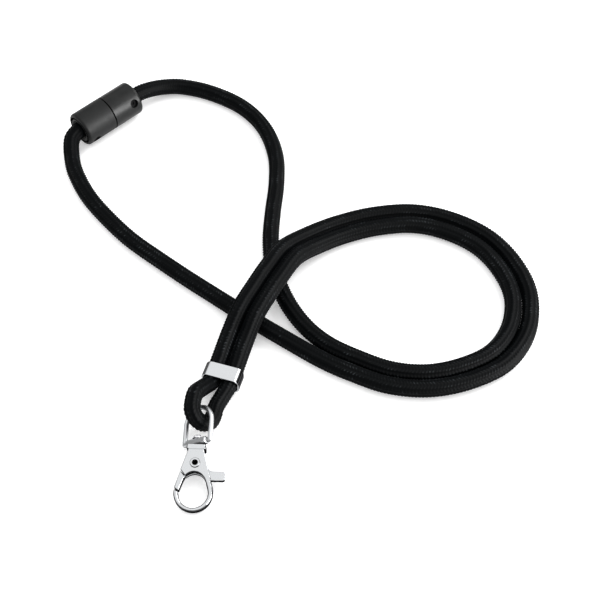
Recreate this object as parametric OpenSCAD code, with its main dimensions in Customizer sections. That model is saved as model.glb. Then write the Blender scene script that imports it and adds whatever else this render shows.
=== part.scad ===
// Round-cord neck lanyard, laid down in a loop: a breakaway clasp joins the two ends of one
// braided cord, and a crimp band gathers both strands above a swivel snap hook.
// Millimetres, +Z up, resting on z = 0. The origin is under the middle of the metal and
// plastic fittings. +Y runs from the snap hook towards the clasp.

/* [Cord] */
// Diameter of the braided cord
cord_d = 5; // [4.8:0.1:5.1]
// Distance between the middles of the two strands where they run side by side
strand_pitch = 5.2; // [5.2:0.1:5.4]
// Number of flat sides on the cord's working solid
cord_sides = 8; // [8:1:12]
// Longest stretch of cord between two rings of that solid
ring_step = 14; // [12:0.5:15]

/* [Breakaway clasp] */
// Outside diameter of the clasp
clasp_d = 11.4; // [11:0.1:12.5]
// Length of the closed clasp
clasp_len = 22.4; // [22:0.2:25]
// Radius of the rounded outer edges
clasp_round = 0.9; // [0.4:0.1:1.2]
// Diameter of the lock pins that hold the cord's ends
lock_pin_d = 2.8; // [2.4:0.1:3]

/* [Crimp band] */
// Length of the band along the cord
band_len = 4.6; // [4:0.2:7]
// Thickness of the band's metal
band_wall = 0.5; // [0.4:0.05:0.6]

/* [Swivel snap hook] */
// Width of the hook across its eye
hook_w = 10.8; // [10.6:0.1:11.2]
// Thickness of the hook's upper body
hook_t = 3.8; // [3.6:0.1:4.2]
// Thickness of the hook's curved end
tip_t = 2.6; // [2.4:0.1:2.8]
// Thickness of the gate lever
lever_t = 1.5; // [1.3:0.1:1.5]

/* [D ring] */
// Diameter of the ring's wire
ring_wire_d = 1.4; // [1.1:0.1:1.4]
// Distance between the middles of the ring's two legs
ring_w = 9.4; // [9.3:0.1:9.6]

/* [Hidden] */
$fn = 64;
eps = 0.01;

// Colours
cord_black = [0.06, 0.06, 0.07];
shell_charcoal = [0.2, 0.21, 0.21];
pin_black = [0.1, 0.1, 0.1];
chrome = [0.8, 0.81, 0.82];
bright_steel = [0.7, 0.71, 0.72];

// Clasp: its own frame has +Z along its axis, towards the socket, with 0 at the seam.
clasp_r = clasp_d / 2;
clasp_half = clasp_len / 2;
clasp_mid = [-18.5, 65.5, clasp_r];
clasp_turn = 43.3;
clasp_axis = [cos(clasp_turn), sin(clasp_turn), 0];
seam_gap = 0.45;
cord_bore_r = cord_d / 2 + 0.2;
cord_end_at = 6.5;
cord_bore_from = 6.2;
mouth_flare = 0.9;
end_groove_r = 4;
end_groove_w = 0.8;
end_groove_t = 1.1;
lock_pin_at = 8.2;
socket_pin_in = cord_d / 2 - 0.4;
plug_pin_in = cord_d / 2 + 0.1;
lock_pin_out = clasp_r - 1.1;
lock_hole_r = lock_pin_d / 2 + 0.05;
socket_pin_turn = 243;
plug_pin_turn = 296;
lip_r = 2.95;
lip_len = 1.4;
catch_r = 3.5;
catch_to = 5.4;
stud_neck_r = 2.35;
stud_bulb_r = 2.85;
stud_len = 4.6;
stud_split = 0.8;

// Crimp band: its own frame has +Z along the strands.
band_mid = [24, -35.5, 3];
band_turn = -107;
band_axis = [cos(band_turn), sin(band_turn), 0];
band_reach = 2.4;
band_in_w = strand_pitch + cord_d;
band_in_h = cord_d - 0.1;
band_corner_r = 2;
band_seam = 0.25;

// Snap hook: its own frame has +Y from the hook's end towards the ring, +Z through its
// thickness, and 0 at the outermost point of the curved end.
hook_foot = [17.2, -76.9, 1.35];
hook_pitch = 8;
hook_yaw = -2;
hook_r = hook_w / 2;
neck_half = 2.1;
neck_top = 17.35;
collar_w = 5.3;
collar_t = 4.2;
collar_corner_r = 0.5;
collar_len = 1.4;
collar_top = neck_top + collar_len;
eye_r = 3.95;
eye_y = 5.05;
arch_r = 3.1;
arch_y = 7.9;
pivot = [0, 13.4];
slot_t = lever_t + 0.3;
gate_cut_a = [-4.4, 12.1];
gate_cut_b = [-1.9, 9.15];
gate_gap = 0.15;
tip_cut_r = 8.85;
hub_r = 1.8;
rivet_r = 0.8;
rivet_hole_r = 0.5;
rivet_mouth_r = 0.85;
rivet_mouth_t = 0.5;
rivet_head_r = 1.4;
rivet_head_t = 0.3;
lever_bore_r = rivet_r + 0.05;
spring_wire_r = 0.15;
spring_r = 1.25;
spring_turns = 2.25;
spring_pitch = 0.31;
spring_bay_r = 1.55;
spring_bay_t = 1.1;
tab_low = 8.8;
tab_high = 11.5;
tab_end = 8.3;
tab_corner_r = 0.6;

// D ring: the hook's frame turned about its long axis by the swivel.
ring_roll = -38;
ring_r = ring_wire_d / 2;
ring_half = ring_w / 2;
bar_y = 19.9;
bar_t = 1.8;
bar_depth = 2.4;
bar_half = 3.6;
bar_corner_r = 0.5;
bow_y = 25.4;
swivel_pin_r = 0.88;
swivel_bore_r = swivel_pin_r + 0.07;
swivel_head_r = 1.45;
swivel_head_t = 0.75;
swivel_pin_from = 15.9;

// The bight: a half circle of cord that hangs on from the crimp band and holds the D ring.
// Its plane is tilted, so that the ring's bow passes between its lower and its upper leg.
bight_foot = [18.3, -51.5, 5.6];
bight_r = 4;
bight_tilt = 46;
bight_turn = -102;
bight_lead = 3;
bight_step = 30;
bight_down = [cos(bight_turn), sin(bight_turn), 0];
bight_across = cos(bight_tilt) * leftwards(bight_down) - [0, 0, sin(bight_tilt)];

// Route of the cord. One strand leaves the socket, runs round the loop as the inner strand,
// turns back through the D ring and returns as the outer strand to the plug.
function on_clasp(t) = clasp_mid + t * clasp_axis;
function on_band(t, side = 0) =
    band_mid + t * band_axis + side * strand_pitch / 2 * leftwards(band_axis);
function on_bight(a, lead = 0) =
    bight_foot - (bight_r + lead) * bight_down
    + bight_r * (cos(a) * bight_across + sin(a) * bight_down);

socket_lead = [
    on_clasp(cord_end_at),
    on_clasp(11.5),
    [-6.5, 76.5, 5.2],
    [-1, 80, 3.5],
    [6, 81, 2.6],
    [16, 78, 2.5],
    [26.5, 71.5, 2.5],
    [34, 62, 2.5],
    [38, 50, 2.5],
    [38.5, 37.5, 2.5],
    [37.5, 25.5, 2.5],
    [37, 14.5, 2.5],
    [38, 3.5, 2.5],
    [41.5, -7.5, 2.5],
    [47, -17, 2.5],
    [54, -24, 2.5],
];

// Middle line between the two strands, from where they meet to the crimp band
pair_route = [
    [62, -31.5, 2.5],
    [72, -35.5, 2.5],
    [83, -36.5, 2.5],
    [94, -34, 2.5],
    [104, -28.5, 2.5],
    [110.5, -19, 2.5],
    [112.5, -7, 2.5],
    [109.5, 4, 2.5],
    [103, 13.5, 2.5],
    [93, 20, 2.5],
    [82, 23, 2.5],
    [70, 22, 2.5],
    [59, 18.5, 2.7],
    [50, 13, 4.2],
    [43, 6, 7.2],
    [38.5, -1.5, 8],
    [34.5, -9, 8],
    [31, -16, 7.7],
    [28, -23, 5],
    on_band(-band_reach),
    on_band(band_reach),
];

inner_leg = on_bight(0, bight_lead);
outer_leg = on_bight(180, bight_lead);
bight = concat(
    [(on_band(band_reach, 1) + inner_leg) / 2, inner_leg],
    [for (a = [0 : bight_step : 180]) on_bight(a)],
    [outer_leg, (on_band(band_reach, -1) + outer_leg) / 2]
);

plug_lead = [
    [52.5, -29.5, 2.5],
    [42, -22.5, 2.5],
    [32, -15.5, 2.5],
    [22, -8, 2.5],
    [12, -0.5, 2.5],
    [2.5, 7, 2.5],
    [-6.5, 14.5, 2.5],
    [-14.5, 23, 2.5],
    [-21.5, 32, 2.5],
    [-26.5, 41.5, 2.5],
    [-28.5, 48, 2.8],
    [-29, 54, 4.8],
    on_clasp(-12),
    on_clasp(-9),
    on_clasp(-cord_end_at),
];

function flat(v) = let (w = [v.x, v.y, 0]) w / norm(w);
function ahead(p, i) = p[min(i + 1, len(p) - 1)] - p[max(i - 1, 0)];
function leftwards(d) = [-d.y, d.x, 0];
function backwards(p) = [for (i = [len(p) - 1 : -1 : 0]) p[i]];
function strand(p, side) = [
    for (i = [0 : len(p) - 1]) p[i] + side * strand_pitch / 2 * leftwards(flat(ahead(p, i)))
];

cord_route = concat(
    socket_lead,
    strand(pair_route, 1),
    bight,
    backwards(strand(pair_route, -1)),
    plug_lead
);

// Smooth curve through the points of p, at the share t between point i and the next one
function smooth(p, i, t) =
    let (a = p[max(i - 1, 0)], b = p[i], c = p[i + 1], d = p[min(i + 2, len(p) - 1)])
    (2 * b + (c - a) * t + (2 * a - 5 * b + 4 * c - d) * t ^ 2 + (3 * b - a - 3 * c + d) * t ^ 3) / 2;

function ring_count(a, b) = max(1, ceil(norm(b - a) / ring_step));

function cord_line(p) = [
    for (i = [0 : len(p) - 2])
        let (n = ring_count(p[i], p[i + 1]))
        for (k = [0 : n - 1]) smooth(p, i, k / n),
    p[len(p) - 1],
];

// A round tube of many flat sides swept along the points of p
module swept_tube(p, r, sides) {
    rings = len(p);
    corners = [
        for (i = [0 : rings - 1])
            let (
                d = ahead(p, i) / norm(ahead(p, i)),
                across = leftwards(flat(d)),
                up = cross(d, across)
            )
            for (k = [0 : sides - 1])
                let (a = 360 * (k + 0.5) / sides)
                p[i] + r * (cos(a) * across + sin(a) * up)
    ];
    walls = [
        for (i = [0 : rings - 2], k = [0 : sides - 1])
            let (n = (k + 1) % sides)
            [i * sides + k, (i + 1) * sides + k, (i + 1) * sides + n, i * sides + n]
    ];
    first_end = [for (k = [0 : sides - 1]) k];
    last_end = [for (k = [sides - 1 : -1 : 0]) (rings - 1) * sides + k];
    polyhedron(corners, concat([first_end], walls, [last_end]));
}

module in_clasp_frame() {
    translate(clasp_mid) rotate([0, 90, clasp_turn]) children();
}

module in_hook_frame() {
    translate(hook_foot) rotate([hook_pitch, 0, hook_yaw]) children();
}

module in_ring_frame() {
    in_hook_frame() rotate([0, ring_roll, 0]) children();
}

module rounded_rect(w, h, r) {
    square([w - 2 * r, h], center = true);
    square([w, h - 2 * r], center = true);
    for (x = [-1, 1], y = [-1, 1])
        translate([x * (w / 2 - r), y * (h / 2 - r)]) circle(r);
}

// A bar of the hook's plane, extruded evenly to both sides of it
module plate(t) {
    translate([0, 0, -t / 2]) linear_extrude(t) children();
}

// A cylinder along +Y from y0 to y1
module along_y(r, y0, y1) {
    translate([0, y0, 0]) rotate([-90, 0, 0]) cylinder(r = r, h = y1 - y0);
}

module cord() {
    color(cord_black) swept_tube(cord_line(cord_route), cord_d / 2, cord_sides);
}

module crimp_band() {
    out_w = band_in_w + 2 * band_wall;
    out_h = band_in_h + 2 * band_wall;
    color(chrome)
        translate(band_mid) rotate([0, 90, band_turn]) translate([0, 0, -band_len / 2])
            difference() {
                linear_extrude(band_len) difference() {
                    rounded_rect(out_h, out_w, band_corner_r);
                    rounded_rect(band_in_h, band_in_w, band_corner_r - band_wall);
                }
                translate([out_h / 2 - band_wall - eps, -band_seam / 2, -eps])
                    cube([band_wall + 2 * eps, band_seam, band_len + 2 * eps]);
            }
}

// One half of the clasp's outside, from its seam to its rounded outer end
module clasp_half_outside() {
    from = seam_gap / 2;
    rotate_extrude() {
        translate([0, from]) square([clasp_r - clasp_round, clasp_half - from]);
        translate([0, from]) square([clasp_r, clasp_half - clasp_round - from]);
        translate([clasp_r - clasp_round, clasp_half - clasp_round]) circle(clasp_round);
    }
}

// The bore for the cord's end, with its flared mouth
module cord_bore() {
    translate([0, 0, cord_bore_from]) cylinder(r = cord_bore_r, h = clasp_half);
    translate([0, 0, clasp_half - mouth_flare])
        cylinder(r1 = cord_bore_r, r2 = cord_bore_r + 2 * mouth_flare, h = 2 * mouth_flare);
}

// The shallow ring that is sunk into the clasp's end face
module end_groove() {
    translate([0, 0, clasp_half - end_groove_t]) difference() {
        cylinder(r = end_groove_r + end_groove_w, h = 2 * end_groove_t);
        translate([0, 0, -eps]) cylinder(r = end_groove_r, h = 2 * end_groove_t + 2 * eps);
    }
}

// A cylinder that stands out from the clasp's axis, between two radii
module radial(r, turn, r0, r1) {
    rotate([0, 0, turn]) translate([r0, 0, lock_pin_at]) rotate([0, 90, 0])
        cylinder(r = r, h = r1 - r0);
}

// A pin that holds the cord's end, from its inner tip out to just below the clasp's surface
module lock_pin(turn, from) {
    dimple_r = 0.55;
    dimple_t = 0.4;
    difference() {
        radial(lock_pin_d / 2, turn, from, lock_pin_out);
        radial(dimple_r, turn, lock_pin_out - dimple_t, lock_pin_out + 1);
    }
}

module socket_shell() {
    color(shell_charcoal) in_clasp_frame() difference() {
        clasp_half_outside();
        cylinder(r = lip_r, h = lip_len);
        translate([0, 0, lip_len - eps]) cylinder(r = catch_r, h = catch_to - lip_len);
        cord_bore();
        end_groove();
        radial(lock_hole_r, socket_pin_turn, 1, clasp_r + 1);
    }
}

module socket_cord_pin() {
    color(pin_black) in_clasp_frame() lock_pin(socket_pin_turn, socket_pin_in);
}

// The stud that snaps into the socket: a neck, a bulb and a nose, split into four fingers
module stud() {
    bulb_from = 1.6;
    bulb_wide = 2.3;
    nose_from = 3.1;
    nose_r = 1.9;
    difference() {
        union() {
            translate([0, 0, -1]) cylinder(r = stud_neck_r, h = bulb_from + 1);
            translate([0, 0, bulb_from])
                cylinder(r1 = stud_neck_r, r2 = stud_bulb_r, h = bulb_wide - bulb_from);
            translate([0, 0, bulb_wide]) cylinder(r = stud_bulb_r, h = nose_from - bulb_wide);
            translate([0, 0, nose_from])
                cylinder(r1 = stud_bulb_r, r2 = nose_r, h = stud_len - nose_from);
        }
        for (turn = [0, 90])
            rotate([0, 0, turn]) translate([-clasp_r, -stud_split / 2, 0.6])
                cube([clasp_d, stud_split, stud_len]);
    }
}

module plug_shell() {
    color(shell_charcoal) in_clasp_frame() {
        difference() {
            mirror([0, 0, 1]) clasp_half_outside();
            mirror([0, 0, 1]) cord_bore();
            mirror([0, 0, 1]) end_groove();
            mirror([0, 0, 1]) radial(lock_hole_r, plug_pin_turn, 1, clasp_r + 1);
        }
        stud();
    }
}

module plug_cord_pin() {
    color(pin_black) in_clasp_frame() mirror([0, 0, 1]) lock_pin(plug_pin_turn, plug_pin_in);
}

module d_ring() {
    color(chrome) in_ring_frame() difference() {
        union() {
            for (side = [-1, 1]) {
                translate([side * ring_half, 0, 0]) along_y(ring_r, bar_y, bow_y);
                translate([side * ring_half, bar_y, 0]) sphere(ring_r);
            }
            translate([0, bow_y, 0]) rotate_extrude(angle = 180)
                translate([ring_half, 0]) circle(ring_r);
            translate([-ring_half, bar_y, 0]) rotate([0, 90, 0])
                cylinder(r = ring_r, h = ring_w);
            translate([-bar_half, bar_y, 0]) rotate([0, 90, 0])
                linear_extrude(2 * bar_half) rounded_rect(bar_depth, bar_t, bar_corner_r);
        }
        along_y(swivel_bore_r, bar_y - bar_t, bar_y + bar_t);
    }
}

module swivel_pin() {
    head_from = bar_y + bar_t / 2 + 0.1;
    head_round = 0.3;
    color(bright_steel) in_hook_frame() {
        along_y(swivel_pin_r, swivel_pin_from, head_from + eps);
        along_y(swivel_head_r, head_from, head_from + swivel_head_t - head_round);
        translate([0, head_from + swivel_head_t - head_round, 0]) rotate([-90, 0, 0])
            cylinder(r1 = swivel_head_r, r2 = swivel_head_r - head_round, h = head_round);
    }
}

// The hook's outline: a round end with straight sides that run in to the neck
module hook_outline() {
    corner = [neck_half, neck_top - hook_r];
    touch = atan2(corner.y, corner.x) - acos(hook_r / norm(corner));
    side = hook_r * [cos(touch), sin(touch)] + [0, hook_r];
    translate([0, hook_r]) circle(hook_r);
    polygon([side, [neck_half, neck_top], [-neck_half, neck_top], [-side.x, side.y]]);
}

// The eye: a wide round end and a narrower arch, joined by straight sides, grown by grow
module hook_eye(grow = 0) {
    rise = arch_y - eye_y;
    lean = asin((eye_r - arch_r) / rise);
    low = (eye_r + grow) * [cos(lean), sin(lean)] + [0, eye_y];
    high = (arch_r + grow) * [cos(lean), sin(lean)] + [0, arch_y];
    translate([0, eye_y]) circle(eye_r + grow);
    translate([0, arch_y]) circle(arch_r + grow);
    polygon([low, high, [-high.x, high.y], [-low.x, low.y]]);
}

// The side of the eye where the gate closes it, up to the slanted joint with the body
module gate_side(gap) {
    out = 9;
    along = (gate_cut_a - gate_cut_b) / norm(gate_cut_a - gate_cut_b);
    down = gap * [-along.y, along.x];
    polygon([
        gate_cut_b + down,
        gate_cut_b + out * along + down,
        [-out, 0],
        gate_cut_b + [0, -out],
    ]);
}

// The hook's thickness: even at the body, tapering to the curved end
module hook_side_view() {
    taper_from = 6;
    taper_to = 11.5;
    polygon([
        [-1, -tip_t / 2],
        [taper_from, -tip_t / 2],
        [taper_to, -hook_t / 2],
        [neck_top + 1, -hook_t / 2],
        [neck_top + 1, hook_t / 2],
        [taper_to, hook_t / 2],
        [taper_from, tip_t / 2],
        [-1, tip_t / 2],
    ]);
}

// The square-edged collar above the neck, which the D ring's bar turns against
module collar() {
    translate([0, collar_top, 0]) rotate([90, 0, 0]) linear_extrude(collar_len + eps)
        rounded_rect(collar_w, collar_t, collar_corner_r);
}

// Everything the lever needs inside the body, at rest and turned
module lever_pocket() {
    reach = 7;
    translate(pivot) circle(hub_r + 0.25);
    polygon([
        pivot + [1.2, 1.65],
        [reach, pivot.y + 1],
        [reach, tab_low - 0.25],
        [arch_r - 0.4, tab_low - 0.25],
        [-0.5, arch_y],
        pivot - [0.5, 0],
    ]);
    polygon([
        pivot + [-1.6, 1.25],
        gate_cut_a + [-1, 1],
        [-reach, arch_y],
        [0, arch_y],
        pivot,
    ]);
}

module hook_body() {
    color(chrome) in_hook_frame() difference() {
        union() {
            intersection() {
                plate(hook_t) hook_outline();
                rotate([90, 0, 90]) plate(4 * hook_r) hook_side_view();
            }
            collar();
        }
        plate(2 * hook_t) hook_eye();
        plate(2 * hook_t) intersection() {
            gate_side(0);
            translate(pivot) circle(tip_cut_r);
        }
        plate(slot_t) lever_pocket();
        translate([pivot.x, pivot.y, -hook_t]) cylinder(r = rivet_r, h = 2 * hook_t);
        along_y(swivel_pin_r, swivel_pin_from, collar_top + 1);
    }
}

// The finger that closes the eye, flush with the hook's outline
module gate_finger() {
    intersection() {
        difference() {
            hook_outline();
            hook_eye();
        }
        gate_side(gate_gap);
        translate(pivot) circle(tip_cut_r - gate_gap);
    }
}

module lever_arms() {
    difference() {
        union() {
            translate(pivot) circle(hub_r);
            polygon([
                pivot + [-1.45, 1.05],
                gate_cut_a + [0.85, -0.75],
                gate_cut_b + [-0.7, 0.5],
                pivot + [0, -hub_r],
            ]);
            polygon([
                pivot + [1.3, 1.2],
                [4.4, tab_high],
                [tab_end - tab_corner_r, tab_high],
                [tab_end - tab_corner_r, tab_low],
                [arch_r - 0.1, tab_low],
                pivot + [-0.4, -hub_r],
            ]);
            translate([tab_end - tab_corner_r - 1, (tab_low + tab_high) / 2])
                rounded_rect(2 * (tab_corner_r + 1), tab_high - tab_low, tab_corner_r);
        }
        hook_eye(0.1);
    }
}

module gate_lever() {
    color(chrome) in_hook_frame() difference() {
        union() {
            plate(tip_t) gate_finger();
            plate(lever_t) lever_arms();
        }
        translate([pivot.x, pivot.y, -lever_t]) cylinder(r = lever_bore_r, h = 2 * lever_t);
        translate([pivot.x, pivot.y, -lever_t / 2 - eps])
            cylinder(r = spring_bay_r, h = spring_bay_t);
        translate([pivot.x - 3, pivot.y + spring_r - 0.25, -lever_t / 2 - eps])
            cube([3, 0.5, spring_bay_t]);
    }
}

module pivot_rivet() {
    head_round = 0.12;
    color(bright_steel) in_hook_frame() translate([pivot.x, pivot.y, 0]) difference() {
        union() {
            translate([0, 0, -hook_t / 2 - eps]) cylinder(r = rivet_r, h = hook_t + 2 * eps);
            for (side = [0, 1]) mirror([0, 0, side]) translate([0, 0, hook_t / 2]) {
                cylinder(r = rivet_head_r, h = rivet_head_t - head_round);
                translate([0, 0, rivet_head_t - head_round])
                    cylinder(r1 = rivet_head_r, r2 = rivet_head_r - head_round, h = head_round);
            }
        }
        translate([0, 0, -hook_t]) cylinder(r = rivet_hole_r, h = 2 * hook_t);
        for (side = [0, 1]) mirror([0, 0, side])
            translate([0, 0, hook_t / 2 + rivet_head_t - rivet_mouth_t + eps])
                cylinder(r1 = rivet_hole_r, r2 = rivet_mouth_r, h = rivet_mouth_t);
    }
}

// Torsion spring round the rivet: a coil with one straight leg towards the body's wall
module gate_spring() {
    steps = 16;
    leg = 1.4;
    start_z = -lever_t / 2 + spring_wire_r + 0.03;
    coil = [
        for (k = [0 : spring_turns * steps])
            let (a = 90 + 360 * k / steps)
            [spring_r * cos(a), spring_r * sin(a), start_z + spring_pitch * k / steps]
    ];
    straight = [[-leg, spring_r, start_z], [-leg / 2, spring_r, start_z]];
    color(bright_steel) in_hook_frame() translate([pivot.x, pivot.y, 0])
        swept_tube(concat(straight, coil), spring_wire_r, 8);
}

cord();
crimp_band();
socket_shell();
socket_cord_pin();
plug_shell();
plug_cord_pin();
d_ring();
swivel_pin();
hook_body();
gate_lever();
pivot_rivet();
gate_spring();
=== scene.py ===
"""Looks of the neck lanyard: braided cord, breakaway clasp, crimp band and swivel snap hook."""

import math

import bpy
import numpy as np
from mathutils import Matrix, Vector


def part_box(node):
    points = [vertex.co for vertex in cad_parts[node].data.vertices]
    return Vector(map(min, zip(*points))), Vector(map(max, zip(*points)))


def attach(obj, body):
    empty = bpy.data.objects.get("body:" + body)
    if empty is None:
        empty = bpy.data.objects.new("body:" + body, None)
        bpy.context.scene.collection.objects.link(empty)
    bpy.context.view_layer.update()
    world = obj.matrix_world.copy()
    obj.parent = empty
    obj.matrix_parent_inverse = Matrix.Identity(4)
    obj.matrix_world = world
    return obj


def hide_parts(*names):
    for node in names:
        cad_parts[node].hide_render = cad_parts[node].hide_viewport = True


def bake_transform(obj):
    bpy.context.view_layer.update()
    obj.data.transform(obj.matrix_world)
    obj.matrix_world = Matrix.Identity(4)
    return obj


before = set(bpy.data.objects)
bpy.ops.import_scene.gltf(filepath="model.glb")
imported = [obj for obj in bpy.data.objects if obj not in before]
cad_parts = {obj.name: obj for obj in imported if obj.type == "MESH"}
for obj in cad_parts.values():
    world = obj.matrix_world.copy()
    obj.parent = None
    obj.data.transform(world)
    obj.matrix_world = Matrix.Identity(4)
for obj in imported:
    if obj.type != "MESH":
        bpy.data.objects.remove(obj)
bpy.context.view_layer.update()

# The cord's route, in metres, as in the part's source
CORD_D = 0.005
STRAND_PITCH = 0.0052
CLASP_MID = np.array([-0.0185, 0.0655, 0.0057])
CLASP_TURN = math.radians(43.3)
BAND_MID = np.array([0.024, -0.0355, 0.003])
BAND_TURN = math.radians(-107)
BAND_REACH = 0.0024
BIGHT_FOOT = np.array([0.0183, -0.0515, 0.0056])
BIGHT_R = 0.004
BIGHT_TILT = math.radians(46)
BIGHT_TURN = math.radians(-102)
BIGHT_LEAD = 0.003
BIGHT_STEP = 30
CORD_END_AT = 0.0065


def heading(turn):
    """The level direction at a turn from the x axis."""
    return np.array([math.cos(turn), math.sin(turn), 0.0])


def leftwards(d):
    """The level direction to the left of d."""
    return np.array([-d[1], d[0], 0.0])


CLASP_AXIS = heading(CLASP_TURN)
BAND_AXIS = heading(BAND_TURN)
BIGHT_DOWN = heading(BIGHT_TURN)
BIGHT_ACROSS = (
    math.cos(BIGHT_TILT) * leftwards(BIGHT_DOWN)
    - math.sin(BIGHT_TILT) * np.array([0.0, 0.0, 1.0])
)


def on_clasp(t):
    """The point at t along the clasp from its middle."""
    return CLASP_MID + t * CLASP_AXIS


def on_band(t, side=0):
    """The point at t along the band, on its middle line or on a strand's."""
    return BAND_MID + t * BAND_AXIS + side * STRAND_PITCH / 2 * leftwards(BAND_AXIS)


def on_bight(degrees, lead=0.0):
    """The point at an angle round the bight through the ring, or up the strand that leads to it."""
    a = math.radians(degrees)
    round_part = math.cos(a) * BIGHT_ACROSS + math.sin(a) * BIGHT_DOWN
    return BIGHT_FOOT - (BIGHT_R + lead) * BIGHT_DOWN + BIGHT_R * round_part


SOCKET_LEAD = [
    on_clasp(CORD_END_AT),
    on_clasp(0.0115),
    (-0.0065, 0.0765, 0.0052),
    (-0.001, 0.08, 0.0035),
    (0.006, 0.081, 0.0026),
    (0.016, 0.078, 0.0025),
    (0.0265, 0.0715, 0.0025),
    (0.034, 0.062, 0.0025),
    (0.038, 0.05, 0.0025),
    (0.0385, 0.0375, 0.0025),
    (0.0375, 0.0255, 0.0025),
    (0.037, 0.0145, 0.0025),
    (0.038, 0.0035, 0.0025),
    (0.0415, -0.0075, 0.0025),
    (0.047, -0.017, 0.0025),
    (0.054, -0.024, 0.0025),
]
PAIR_ROUTE = [
    (0.062, -0.0315, 0.0025),
    (0.072, -0.0355, 0.0025),
    (0.083, -0.0365, 0.0025),
    (0.094, -0.034, 0.0025),
    (0.104, -0.0285, 0.0025),
    (0.1105, -0.019, 0.0025),
    (0.1125, -0.007, 0.0025),
    (0.1095, 0.004, 0.0025),
    (0.103, 0.0135, 0.0025),
    (0.093, 0.02, 0.0025),
    (0.082, 0.023, 0.0025),
    (0.07, 0.022, 0.0025),
    (0.059, 0.0185, 0.0027),
    (0.05, 0.013, 0.0042),
    (0.043, 0.006, 0.0072),
    (0.0385, -0.0015, 0.008),
    (0.0345, -0.009, 0.008),
    (0.031, -0.016, 0.0077),
    (0.028, -0.023, 0.005),
    on_band(-BAND_REACH),
    on_band(BAND_REACH),
]
PLUG_LEAD = [
    (0.0525, -0.0295, 0.0025),
    (0.042, -0.0225, 0.0025),
    (0.032, -0.0155, 0.0025),
    (0.022, -0.008, 0.0025),
    (0.012, -0.0005, 0.0025),
    (0.0025, 0.007, 0.0025),
    (-0.0065, 0.0145, 0.0025),
    (-0.0145, 0.023, 0.0025),
    (-0.0215, 0.032, 0.0025),
    (-0.0265, 0.0415, 0.0025),
    (-0.0285, 0.048, 0.0028),
    (-0.029, 0.054, 0.0048),
    on_clasp(-0.012),
    on_clasp(-0.009),
    on_clasp(-CORD_END_AT),
]

# The braid: lengthwise columns of slanted stitches that lean left and right in turn, in metres
COLUMNS = 10
COLUMN_SIDES = 4
STITCH = 0.00095
STITCH_RINGS = 3
STITCH_LEAN = 0.0009
STITCH_DEPTH = 0.00022
COLUMN_DEPTH = 0.00022
RING_HEIGHTS = (0.0, 1.0, 0.75)
BAND_SQUEEZE = 0.95
# Rings at each end over which the braid straightens to a flat end
END_EASE = 4
# How far the braid stands proud of the cord's nominal size, and where that fades in from the bight
BRAID_PROUD = 0.00022
PROUD_FROM = 0.013
PROUD_FADE = 0.004
# Half the length of cord that the band flattens
BAND_GRIP = 0.0045
# Where the lead to the plug begins, under the crossing
LEAD_FROM = np.array([0.032, -0.0155, 0.0025])


def strand(side):
    """The points of one strand of the pair, left (1) or right (-1) of its middle line."""
    p = [np.array(q, float) for q in PAIR_ROUTE]
    points = []
    for i, q in enumerate(p):
        d = p[min(i + 1, len(p) - 1)] - p[max(i - 1, 0)]
        d[2] = 0.0
        points.append(q + side * STRAND_PITCH / 2 * leftwards(d / np.linalg.norm(d)))
    return points


def cord_points():
    """The points of the whole route, from the socket round to the plug."""
    inner, outer = on_bight(0, BIGHT_LEAD), on_bight(180, BIGHT_LEAD)
    bight = [(on_band(BAND_REACH, 1) + inner) / 2, inner]
    bight += [on_bight(a) for a in range(0, 181, BIGHT_STEP)]
    bight += [outer, (on_band(BAND_REACH, -1) + outer) / 2]
    route = SOCKET_LEAD + strand(1) + bight + strand(-1)[::-1] + PLUG_LEAD
    return [np.array(p, float) for p in route]


def smooth_line(p, steps=24):
    """A smooth curve through the points of p, as the part's source draws it."""
    line = []
    for i in range(len(p) - 1):
        a, b, c, d = p[max(i - 1, 0)], p[i], p[i + 1], p[min(i + 2, len(p) - 1)]
        for k in range(steps):
            t = k / steps
            line.append(
                (2 * b + (c - a) * t + (2 * a - 5 * b + 4 * c - d) * t**2
                 + (3 * b - a - 3 * c + d) * t**3) / 2
            )
    return np.array(line + [p[-1]])


def even_line(line, step):
    """The same line with points an even step apart."""
    s = np.concatenate([[0], np.cumsum(np.linalg.norm(np.diff(line, axis=0), axis=1))])
    at = np.linspace(0, s[-1], int(round(s[-1] / step)) + 1)
    return np.stack([np.interp(at, s, line[:, k]) for k in range(3)], axis=1)


def carried_frames(line):
    """Two directions across the line at each point, carried along it without twist."""
    tangents = np.gradient(line, axis=0)
    tangents /= np.linalg.norm(tangents, axis=1)[:, None]
    side = leftwards(tangents[0])
    sides = []
    for t in tangents:
        side = side - t * (side @ t)
        side = side / np.linalg.norm(side)
        sides.append(side)
    sides = np.array(sides)
    return sides, np.cross(tangents, sides)


def add_object(name, data):
    obj = bpy.data.objects.new(name, data)
    bpy.context.scene.collection.objects.link(obj)
    return obj


# ---------------------------------------------------------------- materials


def grey(tone):
    return (tone, tone, tone)


def material(name, color, roughness, metallic=0.0):
    """A new material, its node tree and its shader."""
    m = bpy.data.materials.new(name)
    m.use_nodes = True
    shader = m.node_tree.nodes["Principled BSDF"]
    shader.inputs["Base Color"].default_value = (*color, 1)
    shader.inputs["Roughness"].default_value = roughness
    shader.inputs["Metallic"].default_value = metallic
    return m, m.node_tree, shader


def add_noise(tree, scale, detail=4.0):
    """Noise in the frame's own coordinates, so that it stays on the piece."""
    place = tree.nodes.new("ShaderNodeTexCoord")
    noise = tree.nodes.new("ShaderNodeTexNoise")
    noise.inputs["Scale"].default_value = scale
    noise.inputs["Detail"].default_value = detail
    tree.links.new(place.outputs["Object"], noise.inputs["Vector"])
    return noise.outputs["Fac"]


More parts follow.
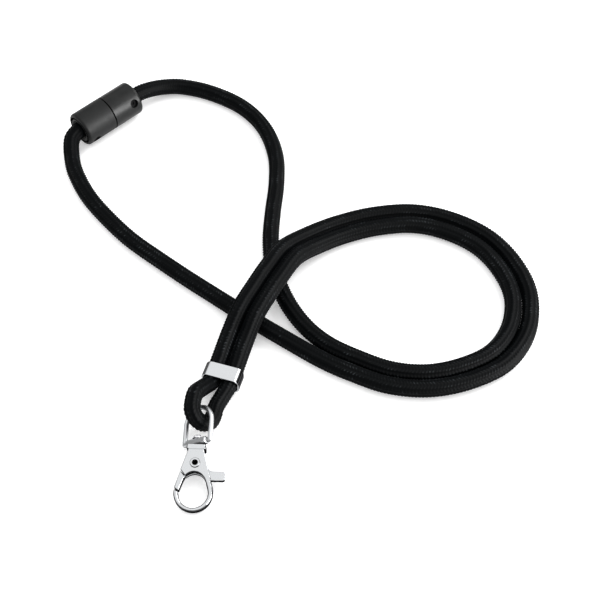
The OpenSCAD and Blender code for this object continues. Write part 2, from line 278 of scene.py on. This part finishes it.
def add_ramp(tree, fac, low, high, at=(0.3, 0.7)):
    """A colour that goes from low to high as fac goes between the two places in at."""
    ramp = tree.nodes.new("ShaderNodeValToRGB")
    for element, place, value in zip(ramp.color_ramp.elements, at, (low, high)):
        element.position = place
        element.color = (*value, 1)
    tree.links.new(fac, ramp.inputs["Fac"])
    return ramp.outputs["Color"]


def add_bump(tree, shader, height, distance, strength=1.0):
    bump = tree.nodes.new("ShaderNodeBump")
    bump.inputs["Distance"].default_value = distance
    bump.inputs["Strength"].default_value = strength
    tree.links.new(height, bump.inputs["Height"])
    tree.links.new(bump.outputs["Normal"], shader.inputs["Normal"])


# Tones of the cord, with painted shade between its stitches and a painted highlight on their tops,
# of the clasp and of its pins
CORD_MEAN = (0.004, 0.005, 0.006)
CORD_VALLEY_PAINTED_SHADE = (0.0008, 0.0012, 0.0015)
CORD_TIP_PAINTED_HIGHLIGHT = (0.046, 0.052, 0.056)
PLASTIC_MEAN = (0.015, 0.016, 0.016)
PLASTIC_DARK = (0.004, 0.0045, 0.0045)
PLASTIC_PALE = (0.008, 0.0085, 0.0085)
PIN_DARK = (0.003, 0.003, 0.0035)


def cord_material():
    """Black braid, with painted shade between the stitches and an uneven painted highlight on their
    tops.
    """
    m, tree, shader = material("cord_braid", CORD_MEAN, 0.55)
    shader.inputs["Specular IOR Level"].default_value = 0.04
    stitch = tree.nodes.new("ShaderNodeAttribute")
    stitch.attribute_name = "stitch"
    patches = add_noise(tree, scale=170, detail=2.0)
    fibres = add_noise(tree, scale=1500, detail=2.0)
    # patches and fibres that make the painted highlight on the stitches' tops uneven
    patchy_highlight = add_ramp(tree, patches, grey(0.45), grey(1), at=(0.35, 0.65))
    grain = add_ramp(tree, fibres, grey(0.5), grey(1))
    height = stitch.outputs["Fac"]
    for factor in (patchy_highlight, grain):
        product = tree.nodes.new("ShaderNodeMath")
        product.operation = "MULTIPLY"
        tree.links.new(height, product.inputs[0])
        tree.links.new(factor, product.inputs[1])
        height = product.outputs[0]
    # painted shade in the valleys between stitches, rising to a painted highlight on their tops
    shade = add_ramp(tree, height, CORD_VALLEY_PAINTED_SHADE, CORD_TIP_PAINTED_HIGHLIGHT, at=(0.44, 1.0))
    tree.links.new(shade, shader.inputs["Base Color"])
    fuzz = add_noise(tree, scale=5200, detail=6.0)
    add_bump(tree, shader, fuzz, distance=0.00004, strength=0.6)
    return m


def plastic_material(name, smoothest, roughest):
    """Satin moulded plastic, near black."""
    m, tree, shader = material(name, PLASTIC_MEAN, (smoothest + roughest) / 2)
    shader.inputs["Specular IOR Level"].default_value = 0.16
    shade = add_ramp(tree, add_noise(tree, scale=260), PLASTIC_DARK, PLASTIC_PALE)
    tree.links.new(shade, shader.inputs["Base Color"])
    rough = add_ramp(tree, add_noise(tree, scale=700), grey(smoothest), grey(roughest))
    tree.links.new(rough, shader.inputs["Roughness"])
    add_bump(tree, shader, add_noise(tree, scale=2600), distance=0.000012, strength=0.5)
    return m


def pin_material():
    """Dull plastic, darker than the shells."""
    m, tree, shader = material("lock_pin", PIN_DARK, 0.6)
    shader.inputs["Specular IOR Level"].default_value = 0.05
    add_bump(tree, shader, add_noise(tree, scale=3000), distance=0.00001, strength=0.5)
    return m


# How the hook lies, and how far the ring rolls on it, as in the part's source
HOOK_PITCH = math.radians(8)
HOOK_YAW = math.radians(-2)
RING_ROLL = math.radians(-38)
UP = Vector((0.0, 0.0, 1.0))


def face_of_hook(roll=0.0):
    """The way the hook's flat face looks, or a face rolled from it about the hook's length."""
    turn = Matrix.Rotation(HOOK_YAW, 3, "Z") @ Matrix.Rotation(HOOK_PITCH, 3, "X")
    return turn @ Matrix.Rotation(roll, 3, "Y") @ UP


# Tones of the plating: its own tone on the faces, and a painted dark reflection on the side walls
CHROME_FACE = (0.49, 0.50, 0.51)
CHROME_WALL_PAINTED_REFLECTION = (0.045, 0.045, 0.047)
RING_WALL_PAINTED_REFLECTION = (0.32, 0.325, 0.33)


def add_facing(tree, direction):
    """How squarely the surface looks along a direction of its own frame, either way round."""
    place = tree.nodes.new("ShaderNodeTexCoord")
    dot = tree.nodes.new("ShaderNodeVectorMath")
    dot.operation = "DOT_PRODUCT"
    dot.inputs[1].default_value = direction
    tree.links.new(place.outputs["Normal"], dot.inputs[0])
    either = tree.nodes.new("ShaderNodeMath")
    either.operation = "ABSOLUTE"
    tree.links.new(dot.outputs["Value"], either.inputs[0])
    return either.outputs[0]


def chrome_material(name, face_normal, from_wall=0.7, to_face=0.985, wall=CHROME_WALL_PAINTED_REFLECTION,
                    smoothest=0.07, rim_normal=None):
    """Bright plating with painted reflections: pale faces, and side walls painted dark as a
    studio's dark parts would reflect in them.

    The tone goes from the wall's painted dark reflection to the face's as the surface turns to look
    along face_normal, or along rim_normal where a piece has cut rims that get the face's tone as a
    painted highlight too.
    """
    m, tree, shader = material(name, CHROME_FACE, roughness=0.1, metallic=1.0)
    shader.inputs["Specular Tint"].default_value = (*grey(0.3), 1)
    painted_reflection_mask = add_facing(tree, face_normal)
    if rim_normal is not None:
        brighter = tree.nodes.new("ShaderNodeMath")
        brighter.operation = "MAXIMUM"
        tree.links.new(painted_reflection_mask, brighter.inputs[0])
        tree.links.new(add_facing(tree, rim_normal), brighter.inputs[1])
        painted_reflection_mask = brighter.outputs[0]
    # painted dark reflection on the walls, fading to the plating's own tone on the faces
    tone = add_ramp(tree, painted_reflection_mask, wall, CHROME_FACE, at=(from_wall, to_face))
    tree.links.new(tone, shader.inputs["Base Color"])
    rough = add_ramp(tree, add_noise(tree, scale=420), grey(smoothest), grey(smoothest + 0.1))
    tree.links.new(rough, shader.inputs["Roughness"])
    ripples = add_noise(tree, scale=620, detail=2.0)
    add_bump(tree, shader, ripples, distance=0.00002, strength=0.35)
    return m


def steel_material(name, color):
    """Turned or drawn steel."""
    m, tree, shader = material(name, color, roughness=0.25, metallic=1.0)
    rough = add_ramp(tree, add_noise(tree, scale=900), grey(0.2), grey(0.34))
    tree.links.new(rough, shader.inputs["Roughness"])
    return m


def dress(node, finish):
    """Gives a CAD node its finish, in its material slots only."""
    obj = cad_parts[node]
    obj.data.materials.clear()
    obj.data.materials.append(finish)


# ---------------------------------------------------------------- pieces

# The hook's lowest y, and how far its curved end reaches from there
HOOK_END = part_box("hook_body")[0].y
TIP_LENGTH = 0.0095
TIP_FADE = 0.002
# Castings are remeshed in millimetres
MM = 1000
WELD = 0.001


def finish_mesh(mesh, finish):
    """Gives a new mesh its one material and smooth shading."""
    mesh.materials.clear()
    mesh.materials.append(finish)
    mesh.polygons.foreach_set("use_smooth", [True] * len(mesh.polygons))


def cast_copy(node, body, finish, voxel, passes, tip_passes=0):
    """A finer copy of a CAD node with its edges rounded as a casting's are, in the node's place.

    The voxel is in millimetres. The hook's curved end is smoothed further, by tip_passes.
    """
    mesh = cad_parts[node].data.copy()
    mesh.name = node + "_cast"
    mesh.transform(Matrix.Scale(MM, 4))
    raw = add_object(mesh.name, mesh)
    weld = raw.modifiers.new("weld", "WELD")
    weld.merge_threshold = WELD
    remesh = raw.modifiers.new("remesh", "REMESH")
    remesh.mode = "VOXEL"
    remesh.voxel_size = voxel
    view = bpy.context.evaluated_depsgraph_get()
    fine = bpy.data.meshes.new_from_object(raw.evaluated_get(view))
    bpy.data.objects.remove(raw)
    co = np.zeros(len(fine.vertices) * 3)
    fine.vertices.foreach_get("co", co)
    co = co.reshape(-1, 3)
    edges = np.zeros(len(fine.edges) * 2, int)
    fine.edges.foreach_get("vertices", edges)
    a, b = edges.reshape(-1, 2).T
    degree = np.bincount(np.concatenate([a, b]), minlength=len(co))[:, None]
    share = np.ones((len(co), 1))
    for i in range(passes + tip_passes):
        if i == passes:
            share = hook_tip(co / MM)[:, None]
        total = np.stack([
            np.bincount(a, co[b, k], len(co)) + np.bincount(b, co[a, k], len(co))
            for k in range(3)
        ], axis=1)
        co = co + 0.5 * share * (total / degree - co)
    fine.vertices.foreach_set("co", (co / MM).ravel())
    finish_mesh(fine, finish)
    fine.update()
    piece = add_object(node + "_cast", fine)
    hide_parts(node)
    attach(piece, body)


def hook_tip(co):
    """1 on the hook's curved end, fading to 0 at its body."""
    return np.clip((HOOK_END + TIP_LENGTH - co[:, 1]) / TIP_FADE, 0, 1)


def spring_copy(finish):
    """A copy of the gate's spring."""
    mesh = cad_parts["gate_spring"].data.copy()
    mesh.name = "gate_spring_wire"
    mesh.materials.clear()
    mesh.materials.append(finish)
    wire = add_object(mesh.name, mesh)
    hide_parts("gate_spring")
    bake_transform(wire)


def braid_rings(line):
    """The braid's points, a ring for each point of the line, and how high each stands (0 to 1)."""
    sides = COLUMNS * COLUMN_SIDES
    across, up = carried_frames(line)
    k = np.arange(sides)
    angle = 2 * math.pi * k / sides
    wave = np.abs((k + COLUMN_SIDES) % (2 * COLUMN_SIDES) - COLUMN_SIDES) / COLUMN_SIDES
    # each row of the braid leans: a point is taken a little ahead of or behind its ring
    lean = (wave - 0.5) * STITCH_LEAN / (STITCH / STITCH_RINGS)
    ring = np.arange(len(line))
    ease = np.clip(np.minimum(ring, ring[::-1]) / END_EASE, 0, 1)
    row = ring[:, None] + ease[:, None] * lean[None, :]
    low = np.minimum(row.astype(int), len(line) - 2)
    share = (row - low)[..., None]

    def at(values):
        return values[low] * (1 - share) + values[low + 1] * share

    crown = np.sin(math.pi * (k % COLUMN_SIDES) / COLUMN_SIDES)
    heights = np.array(RING_HEIGHTS)[np.arange(len(line)) % STITCH_RINGS]
    tip = heights[:, None] * crown[None, :]
    far = np.linalg.norm(line[:, :2] - BIGHT_FOOT[:2], axis=1)
    proud = BRAID_PROUD * np.clip((far - PROUD_FROM) / PROUD_FADE, 0, 1)
    dip = COLUMN_DEPTH * (1 - crown)[None, :] + STITCH_DEPTH * (1 - tip)
    radius = CORD_D / 2 + proud[:, None] - dip
    out = np.cos(angle)[None, :, None] * at(across) + np.sin(angle)[None, :, None] * at(up)
    offset = radius[:, :, None] * out
    # the band holds both strands a little flattened
    near_band = np.linalg.norm(line[:, :2] - BAND_MID[:2], axis=1) < BAND_GRIP
    offset[near_band, :, 2] *= BAND_SQUEEZE
    points = at(line) + offset
    points[:, :, 2] = np.maximum(points[:, :, 2], 0.0)
    return points, tip


def braid_piece(name, points, tip, finish):
    """One stretch of braid as a closed tube."""
    n, sides = points.shape[:2]
    faces = [
        (i * sides + j, i * sides + (j + 1) % sides,
         (i + 1) * sides + (j + 1) % sides, (i + 1) * sides + j)
        for i in range(n - 1) for j in range(sides)
    ]
    # each end is closed by a fan round a point in its middle
    first, last = n * sides, n * sides + 1
    end = (n - 1) * sides
    for j in range(sides):
        following = (j + 1) % sides
        faces.append((first, following, j))
        faces.append((last, end + j, end + following))
    middles = [points[0].mean(axis=0), points[-1].mean(axis=0)]
    mesh = bpy.data.meshes.new(name)
    mesh.from_pydata(np.vstack([points.reshape(-1, 3), middles]).tolist(), [], faces)
    finish_mesh(mesh, finish)
    height = mesh.attributes.new("stitch", "FLOAT", "POINT")
    height.data.foreach_set("value", np.append(tip.ravel(), (0, 0)).astype(np.float32))
    cord = add_object(name, mesh)
    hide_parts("cord")
    return cord


def make_cord(finish):
    """The one cord, drawn in two pieces: the main one and the lead to the plug."""
    line = even_line(smooth_line(cord_points()), STITCH / STITCH_RINGS)
    points, tip = braid_rings(line)
    # the later of the two places where the cord passes this point is on the lead
    near = np.linalg.norm(line - LEAD_FROM, axis=1)
    half = len(line) // 2
    cut = half + int(np.argmin(near[half:]))
    main = braid_piece("braided_cord", points[: cut + 1], tip[: cut + 1], finish)
    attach(main, "lanyard")
    lead = braid_piece("braided_cord_lead", points[cut:], tip[cut:], finish)
    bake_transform(lead)


# ---------------------------------------------------------------- studio

VIEW_TARGET = Vector((0.0461, -0.0066, 0.0))
VIEW_DISTANCE = 0.353
VIEW_ELEVATION = math.radians(55)
# The studio's brightness by height above the horizon: a dark rim, and light from there up
SKY = ((0.0, 0.1), (0.15, 0.07), (0.34, 0.3), (0.52, 1.0))
SKY_STRENGTH = 1.5
FLOOR_HALF = 3.0
FLOOR_GLOW = 0.28


def make_camera():
    data = bpy.data.cameras.new("camera")
    data.lens = 70
    data.sensor_width = 36
    data.clip_start = 0.01
    obj = add_object("camera", data)
    away = Vector((0, -math.cos(VIEW_ELEVATION), math.sin(VIEW_ELEVATION)))
    obj.location = VIEW_TARGET + VIEW_DISTANCE * away
    obj.rotation_euler = (-away).to_track_quat("-Z", "Y").to_euler()
    bpy.context.scene.camera = obj


def make_light(name, place, size, power, gloss_only=False):
    """A square light that looks at the middle of the view."""
    data = bpy.data.lights.new(name, "AREA")
    data.size = size
    data.energy = power
    obj = add_object(name, data)
    obj.location = place
    obj.rotation_euler = (VIEW_TARGET - Vector(place)).to_track_quat("-Z", "Y").to_euler()
    obj.visible_diffuse = not gloss_only


def make_floor():
    finish, _, shader = material("floor_white", grey(0.9), 0.6)
    shader.inputs["Emission Color"].default_value = (*grey(1), 1)
    shader.inputs["Emission Strength"].default_value = FLOOR_GLOW
    corners = [(x * FLOOR_HALF, y * FLOOR_HALF, 0) for x, y in ((-1, -1), (1, -1), (1, 1), (-1, 1))]
    mesh = bpy.data.meshes.new("floor")
    mesh.from_pydata(corners, [], [(0, 1, 2, 3)])
    mesh.materials.append(finish)
    add_object("floor", mesh)


def make_sky():
    world = bpy.data.worlds.new("studio")
    bpy.context.scene.world = world
    world.use_nodes = True
    tree = world.node_tree
    background = tree.nodes["Background"]
    background.inputs["Strength"].default_value = SKY_STRENGTH
    place = tree.nodes.new("ShaderNodeTexCoord")
    parts = tree.nodes.new("ShaderNodeSeparateXYZ")
    ramp = tree.nodes.new("ShaderNodeValToRGB")
    tree.links.new(place.outputs["Generated"], parts.inputs["Vector"])
    tree.links.new(parts.outputs["Z"], ramp.inputs["Fac"])
    tree.links.new(ramp.outputs["Color"], background.inputs["Color"])
    stops = ramp.color_ramp.elements
    while len(stops) < len(SKY):
        stops.new(1.0)
    for stop, (height, tone) in zip(stops, SKY):
        stop.position = height
        stop.color = (*grey(tone), 1)


make_camera()
make_cord(cord_material())

# The castings' side walls and the ring wire's sides get a painted dark reflection
chrome = chrome_material("chrome_cast", face_of_hook())
ring_chrome = chrome_material(
    "chrome_ring", face_of_hook(RING_ROLL),
    from_wall=0.0, to_face=0.5, wall=RING_WALL_PAINTED_REFLECTION, smoothest=0.28,
)
# the band's top and its cut end rims pale, as a painted highlight, and its sides painted dark as a
# reflection
band_chrome = chrome_material("chrome_band", UP, rim_normal=BAND_AXIS)
pin = pin_material()
dress("socket_shell", plastic_material("socket_plastic", smoothest=0.34, roughest=0.42))
dress("plug_shell", plastic_material("plug_plastic", smoothest=0.5, roughest=0.58))
dress("socket_cord_pin", pin)
dress("plug_cord_pin", pin)
dress("swivel_pin", steel_material("rivet_steel", (0.62, 0.62, 0.64)))
dress("pivot_rivet", chrome)
cast_copy("hook_body", "hook", chrome, voxel=0.1, passes=14, tip_passes=110)
cast_copy("gate_lever", "lever", chrome, voxel=0.08, passes=14, tip_passes=60)
cast_copy("d_ring", "ring", ring_chrome, voxel=0.08, passes=8)
cast_copy("crimp_band", "lanyard", band_chrome, voxel=0.07, passes=3)
spring_copy(steel_material("spring_steel", (0.5, 0.5, 0.52)))

make_floor()
make_sky()
make_light("key", (0.55, 0.35, 0.5), size=0.4, power=4.5)
make_light("streak", (0.5, -0.17, 0.2), size=0.36, power=10.0, gloss_only=True)
bpy.context.scene.view_settings.view_transform = "Standard"
